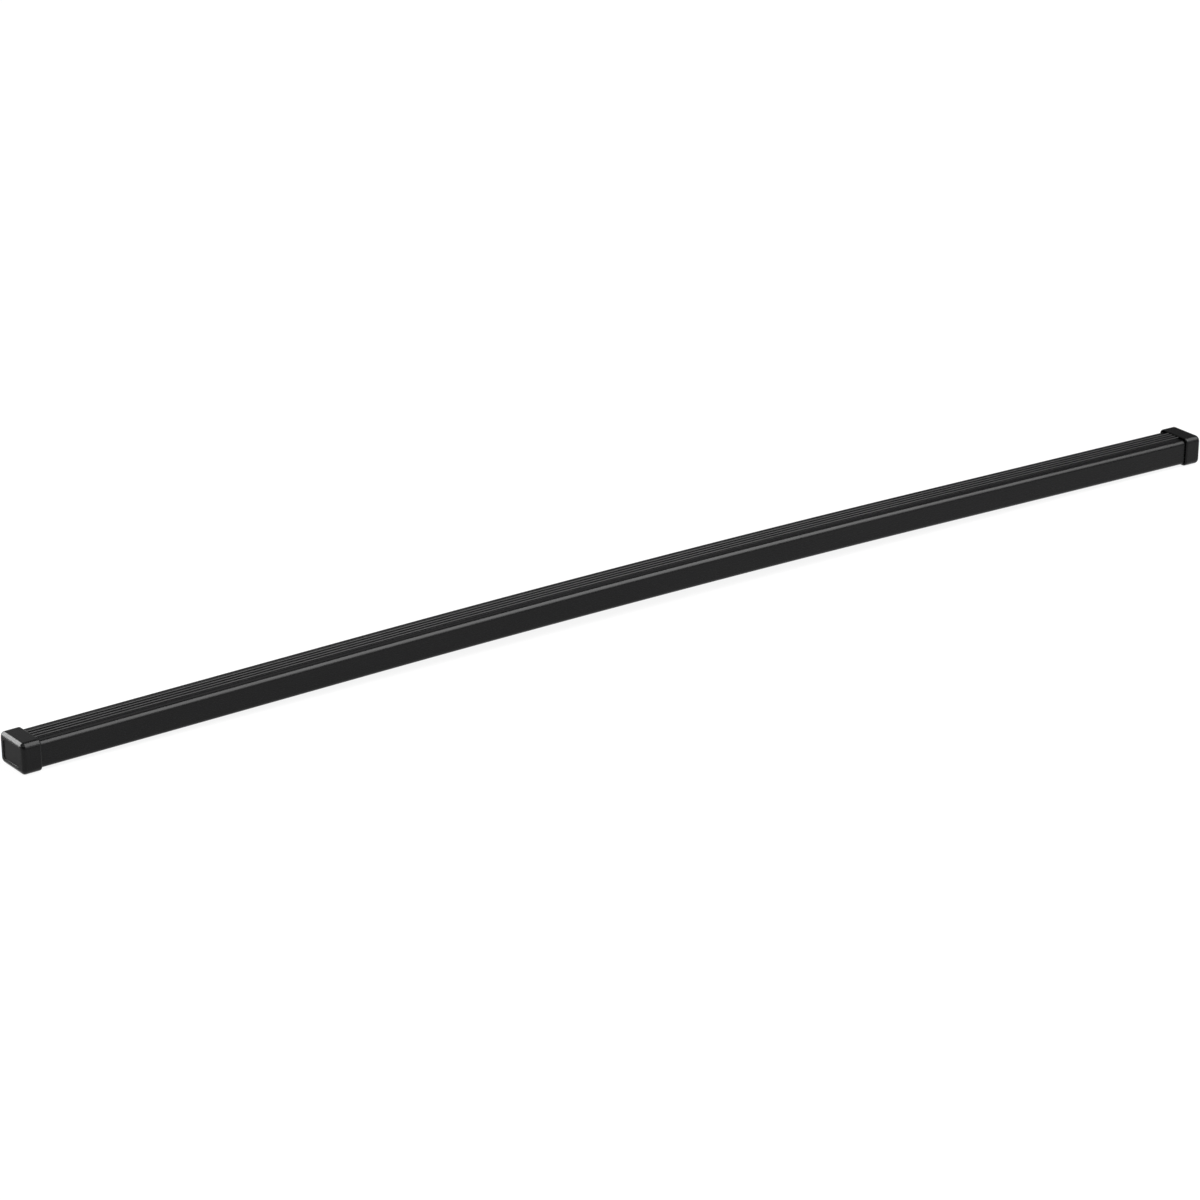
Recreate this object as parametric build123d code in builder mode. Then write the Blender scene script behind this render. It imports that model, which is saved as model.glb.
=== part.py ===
from build123d import *
from math import cos, degrees, sin, sqrt
import os

# Roof rack crossbar in millimetres: X along the bar, -Y to its front, +Z up.
# The origin lies below the middle of the bar, on the surface that its two end caps rest on.

# Whole bar: straight ends on either side of a gently bowed middle
overall_length = 1180.0  # along the centre line, over both caps
bow_radius = 19400.0
bow_length = 576.0

# Section of the bar, the ribs not counted
bar_width = 32.0
bar_height = 22.0
jacket_wall = 1.0
tube_wall = 1.5
bore_corner_radius = 1.2

# Grip ribs along the top of the jacket
rib_count = 4
rib_pitch = 4.15
rib_radius = 0.9
rib_height = 1.5

# End cap, outside: a skirt over the end of the bar, closed by an end wall
cap_wall = 1.2
cap_top_wall = 0.7
cap_end_wall = 2.6
skirt_length = 14.0
skirt_side_gap = 0.9
skirt_bottom_gap = 0.35
skirt_rib_gap = 0.1
cap_corner_radius = 5.0
cap_end_radius = 2.5
cap_rim_bevel = 0.5
recess_depth = 0.6
recess_corner_radius = 3.0
recess_side_margin = 3.8
recess_top_margin = 2.5

# End cap, inside: a hollow plug with crush ribs that grip the bore of the tube
plug_length = 22.0
plug_wall = 1.6
plug_gap = 0.6
plug_corner_radius = 1.6
plug_lead_in = 1.0
crush_rib_clearance = 0.05
crush_rib_spacing = 13.0
crush_rib_end_margin = 3.0

# Sizes that follow
tube_width = bar_width - 2 * jacket_wall
tube_height = bar_height - 2 * jacket_wall
bore_width = tube_width - 2 * tube_wall
bore_height = tube_height - 2 * tube_wall
tube_corner_radius = bore_corner_radius + tube_wall
bar_corner_radius = tube_corner_radius + jacket_wall

skirt_top_gap = rib_height + skirt_rib_gap
cavity_width = bar_width + 2 * skirt_side_gap
cavity_height = bar_height + skirt_top_gap + skirt_bottom_gap
cavity_corner_radius = cap_corner_radius - cap_wall
cavity_lift = (skirt_top_gap - skirt_bottom_gap) / 2
cap_width = cavity_width + 2 * cap_wall
cap_height = cavity_height + cap_wall + cap_top_wall
cap_lift = cavity_lift + (cap_top_wall - cap_wall) / 2
cap_underside = bar_height / 2 + skirt_bottom_gap + cap_wall
recess_width = cap_width - 2 * (cap_end_radius + recess_side_margin)
recess_height = cap_height - 2 * (cap_end_radius + recess_top_margin)

plug_width = bore_width - 2 * plug_gap
plug_height = bore_height - 2 * plug_gap
crush_rib_side = sqrt(2) * (plug_gap - crush_rib_clearance)
crush_rib_length = plug_length - plug_lead_in - crush_rib_end_margin

# Each end slopes down from the bend, so the bar rests on the rounded outer edges of its caps
bend = bow_length / 2 / bow_radius
straight_length = (overall_length - bow_length) / 2
rest_drop = bow_radius * (1 - cos(bend)) + (straight_length - cap_end_radius) * sin(bend)
crown_height = rest_drop + (cap_underside - cap_end_radius) * cos(bend) + cap_end_radius

# Centre line of tube and jacket
bend_degrees = degrees(bend)
run_length = straight_length - cap_end_wall
with BuildLine(Plane.XZ) as centre_line:
    middle = CenterArc((0, crown_height - bow_radius), bow_radius, 90 + bend_degrees, -2 * bend_degrees)
    left_run = Line(middle @ 0 - middle % 0 * run_length, middle @ 0)
    right_run = Line(middle @ 1, middle @ 1 + middle % 1 * run_length)

bar_start = Plane(origin=left_run @ 0, x_dir=(0, 1, 0), z_dir=left_run % 0)

# Where each cap's end wall stops against the bar, facing outwards
left_stop = Plane(origin=left_run @ 0, x_dir=(0, -1, 0), z_dir=-(left_run % 0))
right_stop = Plane(origin=right_run @ 1, x_dir=(0, 1, 0), z_dir=right_run % 1)

# Steel tube that carries the load
with BuildPart() as steel_tube:
    with BuildSketch(bar_start):
        RectangleRounded(tube_width, tube_height, tube_corner_radius)
        RectangleRounded(bore_width, bore_height, bore_corner_radius, mode=Mode.SUBTRACT)
    sweep(path=centre_line.wire())

# Jacket extruded round the tube, with round-topped grip ribs along it
with BuildPart() as polymer_jacket:
    with BuildSketch(bar_start):
        RectangleRounded(bar_width, bar_height, bar_corner_radius)
        with Locations((0, bar_height / 2 + rib_height - rib_radius)):
            with GridLocations(rib_pitch, 0, rib_count, 1):
                Circle(rib_radius)
                Rectangle(2 * rib_radius, rib_height + jacket_wall, align=(Align.CENTER, Align.MAX))
        RectangleRounded(tube_width, tube_height, tube_corner_radius, mode=Mode.SUBTRACT)
    sweep(path=centre_line.wire())

os.makedirs("parts", exist_ok=True)
for piece, name in ((steel_tube, "steel_tube"), (polymer_jacket, "polymer_jacket")):
    piece.part.label = name
    export_step(piece.part, f"parts/{name}.step")

# The same moulded cap on both ends
for name, stop in (("end_cap_left", left_stop), ("end_cap_right", right_stop)):
    outwards = Axis(stop.origin, stop.z_dir)
    with BuildPart() as end_cap:
        # Outer form, rounded over into the end face
        with BuildSketch(stop.offset(-skirt_length)):
            with Locations((0, cap_lift)):
                RectangleRounded(cap_width, cap_height, cap_corner_radius)
        extrude(amount=skirt_length + cap_end_wall)
        fillet(end_cap.faces().sort_by(outwards)[-1].edges(), cap_end_radius)

        # Room for the end of the bar, then the bevelled rim around it
        with BuildSketch(stop.offset(-skirt_length)):
            with Locations((0, cavity_lift)):
                RectangleRounded(cavity_width, cavity_height, cavity_corner_radius)
        extrude(amount=skirt_length, mode=Mode.SUBTRACT)
        chamfer(end_cap.faces().sort_by(outwards)[0].outer_wire().edges(), cap_rim_bevel)

        # Shallow panel in the end face
        with BuildSketch(stop.offset(cap_end_wall)):
            with Locations((0, cap_lift)):
                RectangleRounded(recess_width, recess_height, recess_corner_radius)
        extrude(amount=-recess_depth, mode=Mode.SUBTRACT)

        # Hollow plug with a bevelled tip
        with BuildSketch(stop):
            RectangleRounded(plug_width, plug_height, plug_corner_radius)
            offset(amount=-plug_wall, mode=Mode.SUBTRACT)
        extrude(amount=-plug_length)
        tip = end_cap.faces().sort_by(outwards)[0]
        chamfer(tip.outer_wire().edges(), plug_lead_in)

        # Crush ribs on the four sides of the plug, each with one edge outwards
        with BuildSketch(stop):
            with GridLocations(crush_rib_spacing, plug_height, 2, 2):
                Rectangle(crush_rib_side, crush_rib_side, rotation=45)
            with GridLocations(plug_width, 0, 2, 1):
                Rectangle(crush_rib_side, crush_rib_side, rotation=45)
        extrude(amount=-crush_rib_length)
    end_cap.part.label = name
    export_step(end_cap.part, f"parts/{name}.step")
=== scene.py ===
from math import acos, cos, pi, radians, sin

import bmesh
import bpy
from mathutils import Matrix, Vector


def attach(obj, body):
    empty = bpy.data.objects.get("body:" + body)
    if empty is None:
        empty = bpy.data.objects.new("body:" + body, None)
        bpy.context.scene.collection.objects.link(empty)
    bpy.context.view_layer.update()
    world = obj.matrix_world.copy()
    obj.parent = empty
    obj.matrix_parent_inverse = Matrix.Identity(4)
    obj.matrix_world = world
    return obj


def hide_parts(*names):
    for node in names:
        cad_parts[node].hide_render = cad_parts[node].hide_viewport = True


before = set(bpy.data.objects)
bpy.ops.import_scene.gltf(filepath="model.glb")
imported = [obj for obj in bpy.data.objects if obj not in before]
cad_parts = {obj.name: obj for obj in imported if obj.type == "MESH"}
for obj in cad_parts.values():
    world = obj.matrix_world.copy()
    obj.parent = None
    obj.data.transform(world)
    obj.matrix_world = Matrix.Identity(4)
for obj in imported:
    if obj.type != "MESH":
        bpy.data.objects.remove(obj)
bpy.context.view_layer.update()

# Roof rack crossbar in metres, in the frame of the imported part.
# Jacket and caps are modelled again with finer roundings, and the tube is the CAD's own mesh.

MM = 0.001

# Whole bar: straight ends on either side of a gently bowed middle
OVERALL_LENGTH = 1180 * MM
BOW_RADIUS = 19400 * MM
BOW_LENGTH = 576 * MM
BOW_STEPS = 48

# Section of the bar, with the jacket's grip ribs
BAR_WIDTH = 32 * MM
BAR_HEIGHT = 22 * MM
BAR_CORNER_RADIUS = 3.7 * MM
JACKET_WALL = 1 * MM
TUBE_WALL = 1.5 * MM
RIB_COUNT = 4
RIB_PITCH = 4.15 * MM
RIB_RADIUS = 0.9 * MM
RIB_HEIGHT = 1.5 * MM
RIB_ROOT_RADIUS = 0.15 * MM

# End cap, outside: a skirt over the end of the bar, closed by an end wall with a shallow panel
CAP_WALL = 1.2 * MM
CAP_TOP_WALL = 0.7 * MM
CAP_END_WALL = 2.6 * MM
CAP_CORNER_RADIUS = 5 * MM
CAP_REST_RADIUS = 2.5 * MM  # end radius of the CAD's caps, which sets how high the bar lies
CAP_END_DEPTH = 3.4 * MM  # of the end's rounding, along the bar
CAP_END_INSET = 4.4 * MM  # of the same rounding, inwards
CAP_RIM_RADIUS = 1.6 * MM
CAP_INNER_EDGE_RADIUS = 0.1 * MM
SKIRT_LENGTH = 14 * MM
SKIRT_SIDE_GAP = 0.9 * MM
SKIRT_BOTTOM_GAP = 0.35 * MM
SKIRT_RIB_GAP = 0.1 * MM
RECESS_SIDE_MARGIN = 6.3 * MM
RECESS_TOP_MARGIN = 5 * MM
RECESS_CORNER_RADIUS = 3 * MM
RECESS_DEPTH = 0.6 * MM
RECESS_EDGE_RADIUS = 0.1 * MM

# End cap, inside: a hollow plug with crush ribs that grip the bore of the tube
PLUG_GAP = 0.6 * MM
PLUG_CORNER_RADIUS = 1.6 * MM
PLUG_LENGTH = 22 * MM
PLUG_WALL = 1.6 * MM
PLUG_LEAD_IN = 1 * MM
HOLLOW_CORNER_RADIUS = 0.2 * MM
CRUSH_RIB_CLEARANCE = 0.05 * MM
CRUSH_RIB_SPACING = 13 * MM
CRUSH_RIB_END_MARGIN = 3 * MM
CRUSH_RIB_TAPER = 0.8 * MM

# Fineness of the meshes
CORNER_STEPS = 20
FILLET_STEPS = 18
RIB_STEPS = 14
ROOT_STEPS = 5
EDGE_STEPS = 5
HOLD = 0.15 * MM  # strip beside each rounding that keeps the flats flat
SHARP_ANGLE = radians(35)

# The photograph's view, found by fitting the bar's outline
IMAGE_PIXELS = 1200
FOCAL_PIXELS = 4680
SENSOR_WIDTH = 36
CAMERA_AZIMUTH = radians(-35.55)
CAMERA_ELEVATION = radians(21.63)
CAMERA_DISTANCE = 3820 * MM
CAMERA_RIGHT = -39.1 * MM
CAMERA_UP = -17.16 * MM

# Finishes: each colour drifts between two tones, and each roughness between two values
JACKET_TONES = ((0.0019, 0.0019, 0.0021), (0.0034, 0.0034, 0.0037))
JACKET_ROUGHNESS = (0.24, 0.3)
DIE_LINE_DEPTH = 0.005 * MM
JACKET_GRAIN_DEPTH = 0.006 * MM
CAP_TONES = ((0.0018, 0.0018, 0.0019), (0.0032, 0.0032, 0.0034))
CAP_ROUGHNESS = (0.25, 0.32)
CAP_GRAIN_DEPTH = 0.008 * MM
END_FACE_ROUGHNESS = 0.5  # added to the roughness of the rest of the cap
END_FACE_EDGE = (0.97, 0.995)  # cosines between which the coarser texture fades in
POLYMER_SPECULAR = 0.165
ZINC_TONES = ((0.46, 0.48, 0.5), (0.62, 0.63, 0.64))
ZINC_ROUGHNESS = (0.34, 0.46)
ZINC_GRAIN_DEPTH = 0.006 * MM
NOISE_RANGE = (0.3, 0.7)  # where most of a noise texture's values lie

# Studio: a white ground, and a dim room with a lighter backdrop behind the near end
FLOOR_HALF_WIDTH = 14
FLOOR_GLOW = 0.89
FLOOR_SHADE = 0.1  # share of the white ground that the lamps light, and that a shadow takes away
FLOOR_BOUNCE = 0.6
ROOM_LEVEL = 0.1
BACKDROP_LEVEL = 0.44
BACKDROP_DIRECTION = (-0.5, 0.87, 0)
BACKDROP_EDGE = (0.3, 0.56)  # cosines between which the backdrop fades in
BAR_MIDDLE = (0, 0, 20 * MM)
NEAR_END = (-588 * MM, 0, 25 * MM)
ALONG_BAR = (1, 0, 0)

# Sizes that follow
SKIRT_TOP_GAP = RIB_HEIGHT + SKIRT_RIB_GAP
CAVITY_WIDTH = BAR_WIDTH + 2 * SKIRT_SIDE_GAP
CAVITY_HEIGHT = BAR_HEIGHT + SKIRT_TOP_GAP + SKIRT_BOTTOM_GAP
CAVITY_CORNER_RADIUS = CAP_CORNER_RADIUS - CAP_WALL
CAVITY_LIFT = (SKIRT_TOP_GAP - SKIRT_BOTTOM_GAP) / 2
CAP_WIDTH = CAVITY_WIDTH + 2 * CAP_WALL
CAP_HEIGHT = CAVITY_HEIGHT + CAP_WALL + CAP_TOP_WALL
CAP_LIFT = CAVITY_LIFT + (CAP_TOP_WALL - CAP_WALL) / 2
RECESS_WIDTH = CAP_WIDTH - 2 * RECESS_SIDE_MARGIN
RECESS_HEIGHT = CAP_HEIGHT - 2 * RECESS_TOP_MARGIN
PLUG_WIDTH = BAR_WIDTH - 2 * (JACKET_WALL + TUBE_WALL + PLUG_GAP)
PLUG_HEIGHT = BAR_HEIGHT - 2 * (JACKET_WALL + TUBE_WALL + PLUG_GAP)
CRUSH_RIB_HEIGHT = PLUG_GAP - CRUSH_RIB_CLEARANCE
CRUSH_RIB_LENGTH = PLUG_LENGTH - PLUG_LEAD_IN - CRUSH_RIB_END_MARGIN

# Height of the centre line in the middle, above the surface that the caps rest on
BEND = BOW_LENGTH / 2 / BOW_RADIUS
STRAIGHT_LENGTH = (OVERALL_LENGTH - BOW_LENGTH) / 2
CAP_UNDERSIDE = CAP_HEIGHT / 2 - CAP_LIFT
REST_DROP = BOW_RADIUS * (1 - cos(BEND)) + (STRAIGHT_LENGTH - CAP_REST_RADIUS) * sin(BEND)
CROWN_HEIGHT = REST_DROP + (CAP_UNDERSIDE - CAP_REST_RADIUS) * cos(BEND) + CAP_REST_RADIUS
JACKET_END = OVERALL_LENGTH / 2 - CAP_END_WALL


def bar_point(along, across, up):
    """The place of a point of the section, at a distance along the centre line from its middle."""
    bowed = max(-BOW_LENGTH / 2, min(BOW_LENGTH / 2, along))
    angle = bowed / BOW_RADIUS
    run = along - bowed
    x = BOW_RADIUS * sin(angle) + run * cos(angle) + up * sin(angle)
    z = CROWN_HEIGHT - BOW_RADIUS * (1 - cos(angle)) - run * sin(angle) + up * cos(angle)
    return Vector((x, across, z))


def arc(centre, radius, start, end, steps):
    """Points of an arc in the plane, from one angle to another, in degrees."""
    angles = [radians(start + (end - start) * i / steps) for i in range(steps + 1)]
    return [(centre[0] + radius * cos(a), centre[1] + radius * sin(a)) for a in angles]


def quarter(steps):
    """Sines and cosines of the angles of a quarter turn, as pairs."""
    angles = [radians(90 * i / steps) for i in range(steps + 1)]
    return [(sin(a), cos(a)) for a in angles]


def shell(name, rings, joined, material, node):
    """A closed mesh through rings of equal length, which replaces a solid of the frame."""
    mesh = bmesh.new()
    rows = [[mesh.verts.new(point) for point in ring] for ring in rings]
    pairs = list(zip(rows, rows[1:]))
    if joined:
        pairs.append((rows[-1], rows[0]))
    else:
        mesh.faces.new(rows[0])
        mesh.faces.new(rows[-1])
    for row, following in pairs:
        for i in range(len(row)):
            mesh.faces.new((row[i - 1], row[i], following[i], following[i - 1]))
    bmesh.ops.recalc_face_normals(mesh, faces=mesh.faces)
    data = bpy.data.meshes.new(name)
    mesh.to_mesh(data)
    mesh.free()
    data.shade_smooth()
    data.set_sharp_from_angle(angle=SHARP_ANGLE)
    data.materials.append(material)
    piece = bpy.data.objects.new(name, data)
    bpy.context.scene.collection.objects.link(piece)
    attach(piece, "root")
    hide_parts(node)


# Jacket

def rib_outline(middle):
    """One grip rib from right to left, as places across and heights above the flat top."""
    foot = middle + RIB_RADIUS + RIB_ROOT_RADIUS
    right_root = arc((foot, RIB_ROOT_RADIUS), RIB_ROOT_RADIUS, -90, -180, ROOT_STEPS)
    crest = arc((middle, RIB_HEIGHT - RIB_RADIUS), RIB_RADIUS, 0, 180, RIB_STEPS)
    left_root = [(2 * middle - across, up) for across, up in reversed(right_root)]
    return [(foot + HOLD, 0), *right_root, *crest, *left_root, (2 * middle - foot - HOLD, 0)]


def jacket_outlines():
    """The outer and the inner outline of the jacket, point by point beside each other."""
    corner_across = BAR_WIDTH / 2 - BAR_CORNER_RADIUS
    corner_up = BAR_HEIGHT / 2 - BAR_CORNER_RADIUS
    inner_radius = BAR_CORNER_RADIUS - JACKET_WALL
    outer, inner = [], []

    def corner(side, level, start):
        centre = (side * corner_across, level * corner_up)
        outer.extend(arc(centre, BAR_CORNER_RADIUS, start, start + 90, CORNER_STEPS))
        inner.extend(arc(centre, inner_radius, start, start + 90, CORNER_STEPS))

    def flat(places, level):
        for across, rise in places:
            outer.append((across, level * BAR_HEIGHT / 2 + rise))
            inner.append((across, level * (BAR_HEIGHT / 2 - JACKET_WALL)))

    def wall(side, heights):
        for up in heights:
            outer.append((side * BAR_WIDTH / 2, up))
            inner.append((side * (BAR_WIDTH / 2 - JACKET_WALL), up))

    held_across = corner_across - HOLD
    held_up = corner_up - HOLD
    corner(1, 1, 0)
    flat([(held_across, 0)], 1)
    for i in reversed(range(RIB_COUNT)):
        flat(rib_outline((i - (RIB_COUNT - 1) / 2) * RIB_PITCH), 1)
    flat([(-held_across, 0)], 1)
    corner(-1, 1, 90)
    wall(-1, (held_up, -held_up))
    corner(-1, -1, 180)
    flat([(-held_across, 0), (held_across, 0)], -1)
    corner(1, -1, 270)
    wall(1, (-held_up, held_up))
    return outer, inner


def polymer_jacket(material):
    """The ribbed jacket, swept along the bowed bar."""
    outer, inner = jacket_outlines()
    bowed = [BOW_LENGTH * (i / BOW_STEPS - 0.5) for i in range(BOW_STEPS + 1)]
    stations = [-JACKET_END, *bowed, JACKET_END]
    outside = [[bar_point(along, *point) for point in outer] for along in stations]
    inside = [[bar_point(along, *point) for point in inner] for along in reversed(stations)]
    shell("jacket_extrusion", outside + inside, True, material, "polymer_jacket")


# End caps

def cap_outline(width, height, corner_radius, crush_rib=0.0):
    """A rounded rectangle with places for the crush ribs; every outline has as many points."""
    side = width / 2
    top = height / 2
    corner_across = side - corner_radius
    corner_up = top - corner_radius

    def ribbed(end, middles):
        places = [(end - HOLD, 0)]
        for middle in middles:
            places.append((middle + CRUSH_RIB_HEIGHT, 0))
            places.append((middle, crush_rib))
            places.append((middle - CRUSH_RIB_HEIGHT, 0))
        places.append((HOLD - end, 0))
        return places

    across_places = ribbed(corner_across, (CRUSH_RIB_SPACING / 2, -CRUSH_RIB_SPACING / 2))
    up_places = ribbed(corner_up, (0,))
    points = arc((corner_across, corner_up), corner_radius, 0, 90, CORNER_STEPS)
    points += [(across, top + rise) for across, rise in across_places]
    points += arc((-corner_across, corner_up), corner_radius, 90, 180, CORNER_STEPS)
    points += [(-side - rise, up) for up, rise in up_places]
    points += arc((-corner_across, -corner_up), corner_radius, 180, 270, CORNER_STEPS)
    points += [(-across, -top - rise) for across, rise in across_places]
    points += arc((corner_across, -corner_up), corner_radius, 270, 360, CORNER_STEPS)
    points += [(side + rise, -up) for up, rise in up_places]
    return points


def cap_profile():
    """The cap's outlines in order, each with its place outwards from the end of the bar."""
    profile = []

    def outline(size, grow=0.0, crush_rib=0.0):
        width, height, corner_radius, lift = size
        points = cap_outline(width + 2 * grow, height + 2 * grow, corner_radius + grow, crush_rib)
        return [(across, up + lift) for across, up in points]

    def add(outwards, *shape, **details):
        profile.append((outline(*shape, **details), outwards))

    skirt = (CAP_WIDTH, CAP_HEIGHT, CAP_CORNER_RADIUS, CAP_LIFT)
    cavity = (CAVITY_WIDTH, CAVITY_HEIGHT, CAVITY_CORNER_RADIUS, CAVITY_LIFT)
    recess = (RECESS_WIDTH, RECESS_HEIGHT, RECESS_CORNER_RADIUS, CAP_LIFT)
    plug = (PLUG_WIDTH, PLUG_HEIGHT, PLUG_CORNER_RADIUS, 0)
    hollow = (PLUG_WIDTH - 2 * PLUG_WALL, PLUG_HEIGHT - 2 * PLUG_WALL, HOLLOW_CORNER_RADIUS, 0)

    # Panel in the end face, with rounded edges at its floor and its brim
    edge = RECESS_EDGE_RADIUS
    add(CAP_END_WALL - RECESS_DEPTH, recess, -edge - HOLD)
    for s, c in quarter(EDGE_STEPS):
        add(CAP_END_WALL - RECESS_DEPTH + edge * (1 - c), recess, -edge * (1 - s))
    for s, c in quarter(EDGE_STEPS):
        add(CAP_END_WALL - edge * (1 - s), recess, edge * (1 - c))
    add(CAP_END_WALL, recess, edge + HOLD)

    # End face, rounded over into the sides
    add(CAP_END_WALL, skirt, -CAP_END_INSET - HOLD)
    for s, c in quarter(FILLET_STEPS):
        add(CAP_END_WALL - CAP_END_DEPTH * (1 - c), skirt, -CAP_END_INSET * (1 - s))
    add(CAP_END_WALL - CAP_END_DEPTH - HOLD, skirt)

    # Rim, rounded over the whole wall, and the room for the bar
    edge = CAP_INNER_EDGE_RADIUS
    outer = outline(skirt)
    inner = outline(cavity, edge)
    turn = acos(1 - CAP_WALL / CAP_RIM_RADIUS)
    rim_start = CAP_RIM_RADIUS * sin(turn) - SKIRT_LENGTH
    add(rim_start + HOLD, skirt)
    for i in range(FILLET_STEPS + 1):
        angle = turn * i / FILLET_STEPS
        share = (1 - cos(angle)) / (1 - cos(turn))
        rounded = [(a + (b - a) * share, u + (v - u) * share) for (a, u), (b, v) in zip(outer, inner)]
        profile.append((rounded, rim_start - CAP_RIM_RADIUS * sin(angle)))
    for s, c in quarter(EDGE_STEPS):
        add(edge * (1 - c) - SKIRT_LENGTH, cavity, edge * (1 - s))
    add(edge + HOLD - SKIRT_LENGTH, cavity)
    add(-HOLD, cavity)
    add(0, cavity)

    # Hollow plug
    add(0, plug, crush_rib=CRUSH_RIB_HEIGHT)
    add(CRUSH_RIB_TAPER - CRUSH_RIB_LENGTH, plug, crush_rib=CRUSH_RIB_HEIGHT)
    add(-CRUSH_RIB_LENGTH, plug)
    add(PLUG_LEAD_IN - PLUG_LENGTH, plug)
    add(-PLUG_LENGTH, plug, -PLUG_LEAD_IN)
    add(-PLUG_LENGTH, hollow)
    add(0, hollow)
    return profile


def end_cap(side, name, material, node):
    """One moulded cap, on the left end for side -1 and on the right for side 1."""
    rings = []
    for outline, outwards in cap_profile():
        along = side * (JACKET_END + outwards)
        rings.append([bar_point(along, *point) for point in outline])
    shell(name, rings, False, material, node)


# Materials

def new_material(name):
    """A new material with its node tree and its shader."""
    material = bpy.data.materials.new(name)
    material.use_nodes = True
    tree = material.node_tree
    return material, tree, tree.nodes["Principled BSDF"]


def add_node(tree, kind, inputs=None, **settings):
    """A node with its settings and inputs; an input that is a socket is linked."""
    node = tree.nodes.new(kind)
    for name, value in settings.items():
        setattr(node, name, value)
    for name, value in (inputs or {}).items():
        if isinstance(value, bpy.types.NodeSocket):
            tree.links.new(value, node.inputs[name])
        else:
            node.inputs[name].default_value = value
    return node


def noise(tree, scale, detail, stretch=(1, 1, 1)):
    """Noise in the part's own frame; the scale is in features per metre."""
    place = add_node(tree, "ShaderNodeTexCoord").outputs["Object"]
    mapping = add_node(tree, "ShaderNodeMapping", {"Vector": place, "Scale": stretch})
    texture = add_node(
        tree, "ShaderNodeTexNoise", {"Vector": mapping.outputs["Vector"], "Scale": scale, "Detail": detail}
    )
    return texture.outputs["Fac"]


def map_range(tree, value, source, target):
    """A value taken from one range to another, and held at its ends."""
    inputs = {
        "Value": value,
        "From Min": source[0],
        "From Max": source[1],
        "To Min": target[0],
        "To Max": target[1],
    }
    return add_node(tree, "ShaderNodeMapRange", inputs).outputs["Result"]


def spread(tree, value, wanted):
    """A noise value, taken from its usual range to the range that is wanted."""
    return map_range(tree, value, NOISE_RANGE, wanted)


def blend_colours(tree, factor, first, second):
    """A colour between two others."""
    node = add_node(tree, "ShaderNodeMix", {"Factor": factor}, data_type="RGBA")
    colours = [socket for socket in node.inputs if socket.type == "RGBA"]
    colours[0].default_value = (*first, 1)
    colours[1].default_value = (*second, 1)
    return [socket for socket in node.outputs if socket.type == "RGBA"][0]


def bumps(tree, layers):
    """Bump nodes one on the other, from heights and depths in metres."""
    normal = None
    for height, depth in layers:
        node = add_node(tree, "ShaderNodeBump", {"Height": height, "Distance": depth, "Strength": 1.0})
        if normal is not None:
            tree.links.new(normal, node.inputs["Normal"])
        normal = node.outputs["Normal"]
    return normal


def jacket_polymer():
    """Black extruded polymer: fine die lines along the bar and a satin grain."""
    material, tree, shader = new_material("jacket_polymer")
    die_lines = noise(tree, scale=1400, detail=2, stretch=(0.002, 1, 1))
    grain = noise(tree, scale=2600, detail=3)
    clouds = noise(tree, scale=60, detail=2, stretch=(0.15, 1, 1))
    colour = blend_colours(tree, clouds, *JACKET_TONES)
    tree.links.new(colour, shader.inputs["Base Color"])
    tree.links.new(spread(tree, die_lines, JACKET_ROUGHNESS), shader.inputs["Roughness"])
    layers = ((die_lines, DIE_LINE_DEPTH), (grain, JACKET_GRAIN_DEPTH))
    tree.links.new(bumps(tree, layers), shader.inputs["Normal"])
    shader.inputs["Specular IOR Level"].default_value = POLYMER_SPECULAR
    return material


def end_faces(tree):
    """One on faces that look along the bar, such as the caps' end faces, and nought elsewhere."""
    normal = add_node(tree, "ShaderNodeNewGeometry").outputs["Normal"]
    along = add_node(tree, "ShaderNodeSeparateXYZ", {"Vector": normal}).outputs["X"]
    facing = add_node(tree, "ShaderNodeMath", {0: along}, operation="ABSOLUTE").outputs[0]
    return map_range(tree, facing, END_FACE_EDGE, (0, 1))


def cap_polymer():
    """Black moulded polymer with the fine texture of a spark-eroded mould, coarser on the end faces."""
    material, tree, shader = new_material("cap_polymer")
    erosion = noise(tree, scale=2200, detail=4)
    clouds = noise(tree, scale=120, detail=2)
    colour = blend_colours(tree, clouds, *CAP_TONES)
    tree.links.new(colour, shader.inputs["Base Color"])
    roughness = add_node(
        tree,
        "ShaderNodeMath",
        {0: end_faces(tree), 1: END_FACE_ROUGHNESS, 2: spread(tree, erosion, CAP_ROUGHNESS)},
        operation="MULTIPLY_ADD",
    )
    tree.links.new(roughness.outputs[0], shader.inputs["Roughness"])
    tree.links.new(bumps(tree, ((erosion, CAP_GRAIN_DEPTH),)), shader.inputs["Normal"])
    shader.inputs["Specular IOR Level"].default_value = POLYMER_SPECULAR
    return material


def galvanised_steel():
    """Zinc-coated steel with its crystal spangle."""
    material, tree, shader = new_material("galvanised_steel")
    place = add_node(tree, "ShaderNodeTexCoord").outputs["Object"]
    spangle = add_node(tree, "ShaderNodeTexVoronoi", {"Vector": place, "Scale": 160})
    shade = add_node(tree, "ShaderNodeSeparateColor", {"Color": spangle.outputs["Color"]}).outputs["Red"]
    grain = noise(tree, scale=1500, detail=3)
    colour = blend_colours(tree, shade, *ZINC_TONES)
    tree.links.new(colour, shader.inputs["Base Color"])
    tree.links.new(spread(tree, shade, ZINC_ROUGHNESS), shader.inputs["Roughness"])
    tree.links.new(bumps(tree, ((grain, ZINC_GRAIN_DEPTH),)), shader.inputs["Normal"])
    shader.inputs["Metallic"].default_value = 1.0
    return material


# Floor, light and camera

def grey(level):
    """An opaque grey as the colour of a socket."""
    return level, level, level, 1


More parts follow.
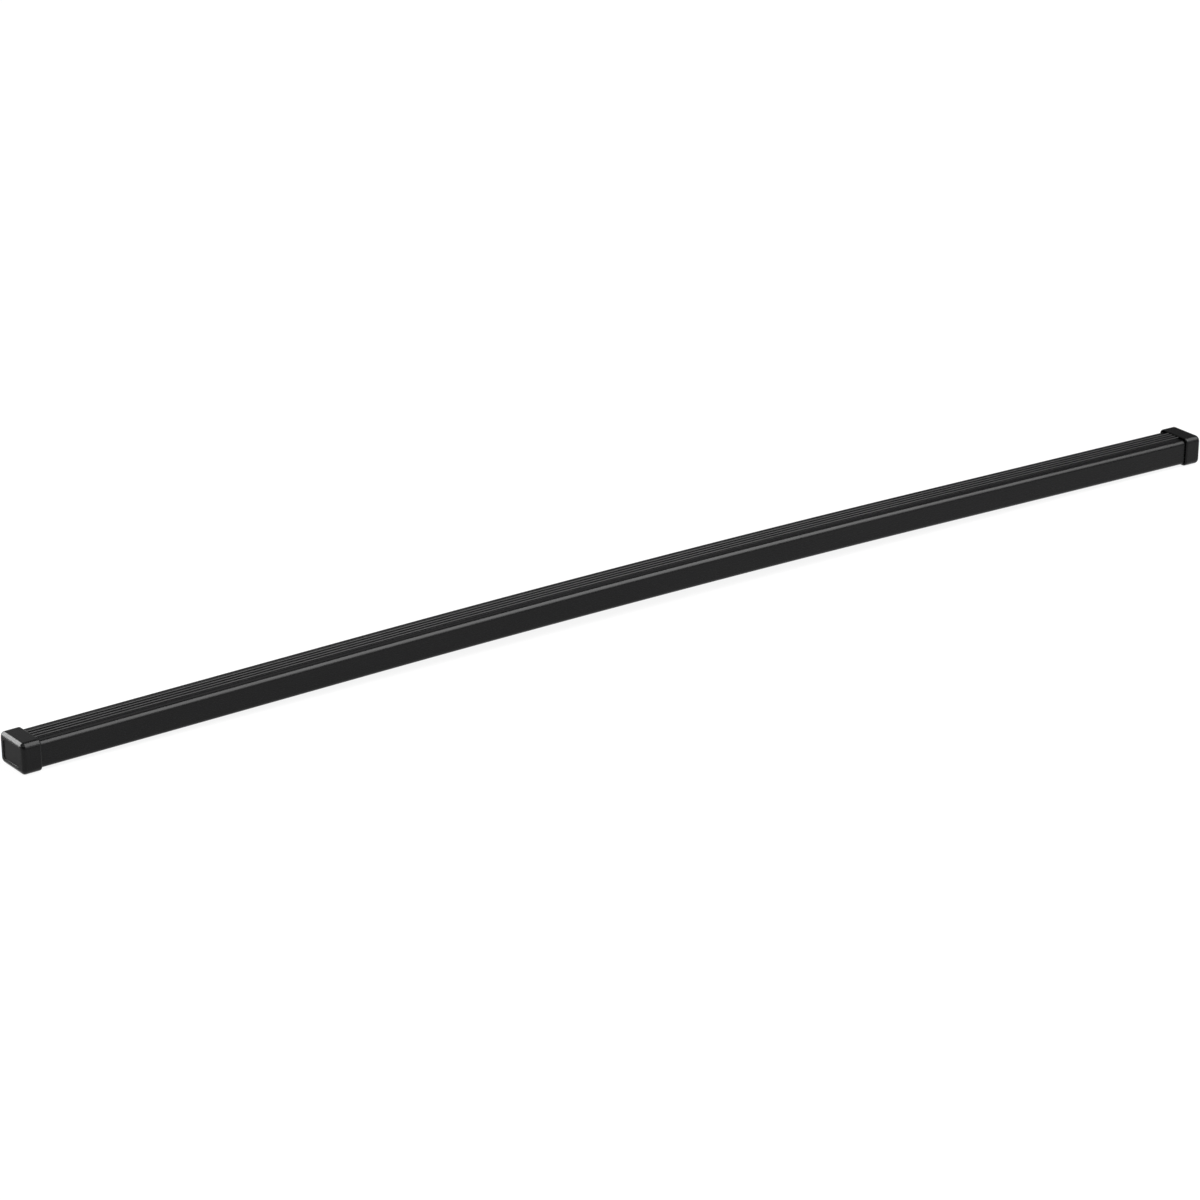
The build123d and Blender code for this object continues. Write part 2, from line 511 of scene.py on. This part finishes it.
def white_floor():
    """A pale floor that shows as a white ground and keeps the bar's shadow."""
    half = FLOOR_HALF_WIDTH
    corners = [(-half, -half, 0), (half, -half, 0), (half, half, 0), (-half, half, 0)]
    data = bpy.data.meshes.new("floor")
    data.from_pydata(corners, [], [(0, 1, 2, 3)])
    floor = bpy.data.objects.new("floor", data)
    bpy.context.scene.collection.objects.link(floor)
    material = bpy.data.materials.new("floor")
    material.use_nodes = True
    tree = material.node_tree
    tree.nodes.clear()
    path = add_node(tree, "ShaderNodeLightPath")
    seen = add_node(
        tree,
        "ShaderNodeMath",
        {0: path.outputs["Is Camera Ray"], 1: path.outputs["Is Glossy Ray"]},
        operation="ADD",
    )
    shown = add_node(
        tree,
        "ShaderNodeMath",
        {0: seen.outputs[0], 1: path.outputs["Is Transmission Ray"]},
        operation="ADD",
        use_clamp=True,
    )
    lit = add_node(tree, "ShaderNodeBsdfDiffuse", {"Color": grey(FLOOR_BOUNCE)})
    faint = add_node(tree, "ShaderNodeBsdfDiffuse", {"Color": grey(FLOOR_SHADE)})
    glow = add_node(tree, "ShaderNodeEmission", {"Color": grey(1), "Strength": FLOOR_GLOW})
    ground = add_node(tree, "ShaderNodeAddShader", {0: faint.outputs[0], 1: glow.outputs[0]})
    mixed = add_node(
        tree, "ShaderNodeMixShader", {0: shown.outputs[0], 1: lit.outputs[0], 2: ground.outputs[0]}
    )
    add_node(tree, "ShaderNodeOutputMaterial", {"Surface": mixed.outputs[0]})
    data.materials.append(material)


def softbox(name, place, target, along, size, radiance):
    """A rectangular lamp with its first side along a direction, as bright as its radiance says."""
    lamp = bpy.data.lights.new(name, "AREA")
    lamp.shape = "RECTANGLE"
    lamp.size, lamp.size_y = size
    lamp.energy = radiance * pi * size[0] * size[1]
    box = bpy.data.objects.new(name, lamp)
    backwards = (Vector(place) - Vector(target)).normalized()
    sideways = (Vector(along) - backwards * backwards.dot(Vector(along))).normalized()
    upwards = backwards.cross(sideways)
    box.matrix_world = Matrix((sideways, upwards, backwards)).transposed().to_4x4()
    box.location = place
    box.visible_camera = False
    bpy.context.scene.collection.objects.link(box)


def studio():
    """A dim room with a lighter backdrop behind the near end, and soft lamps."""
    world = bpy.data.worlds.new("studio")
    world.use_nodes = True
    tree = world.node_tree
    direction = add_node(tree, "ShaderNodeTexCoord").outputs["Generated"]
    backwards = add_node(
        tree, "ShaderNodeVectorMath", {0: direction, 1: BACKDROP_DIRECTION}, operation="DOT_PRODUCT"
    )
    level = map_range(tree, backwards.outputs["Value"], BACKDROP_EDGE, (ROOM_LEVEL, BACKDROP_LEVEL))
    tree.links.new(level, tree.nodes["Background"].inputs["Strength"])
    tree.nodes["Background"].inputs["Color"].default_value = grey(1)
    bpy.context.scene.world = world
    softbox("key", (4.9, -3.6, 7.75), BAR_MIDDLE, along=ALONG_BAR, size=(5.4, 11), radiance=10.3)
    softbox("front", (4.9, -9.7, 3.4), BAR_MIDDLE, along=ALONG_BAR, size=(5.4, 3.2), radiance=2.6)
    softbox("fill", (-4.2, -2.4, 6.4), BAR_MIDDLE, along=ALONG_BAR, size=(3, 3.5), radiance=4)
    softbox("back", (-0.81, 0.5, 0.26), NEAR_END, along=(0.73, 0, 0.68), size=(0.58, 0.26), radiance=16)


def camera():
    """The photograph's view."""
    data = bpy.data.cameras.new("camera")
    data.sensor_width = SENSOR_WIDTH
    data.lens = SENSOR_WIDTH * FOCAL_PIXELS / IMAGE_PIXELS
    data.clip_end = 100
    eye = bpy.data.objects.new("camera", data)
    a, e = CAMERA_AZIMUTH, CAMERA_ELEVATION
    back = Vector((sin(a) * cos(e), -cos(a) * cos(e), sin(e)))
    right = Vector((cos(a), sin(a), 0))
    up = back.cross(right)
    eye.matrix_world = Matrix((right, up, back)).transposed().to_4x4()
    target = Vector((0, 0, CROWN_HEIGHT))
    eye.location = target + back * CAMERA_DISTANCE + right * CAMERA_RIGHT + up * CAMERA_UP
    bpy.context.scene.collection.objects.link(eye)
    bpy.context.scene.camera = eye


polymer_jacket(jacket_polymer())
caps = cap_polymer()
end_cap(-1, "cap_moulding_left", caps, "end_cap_left")
end_cap(1, "cap_moulding_right", caps, "end_cap_right")
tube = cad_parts["steel_tube"].data
tube.materials.clear()
tube.materials.append(galvanised_steel())

white_floor()
studio()
camera()
bpy.context.scene.view_settings.view_transform = "Standard"
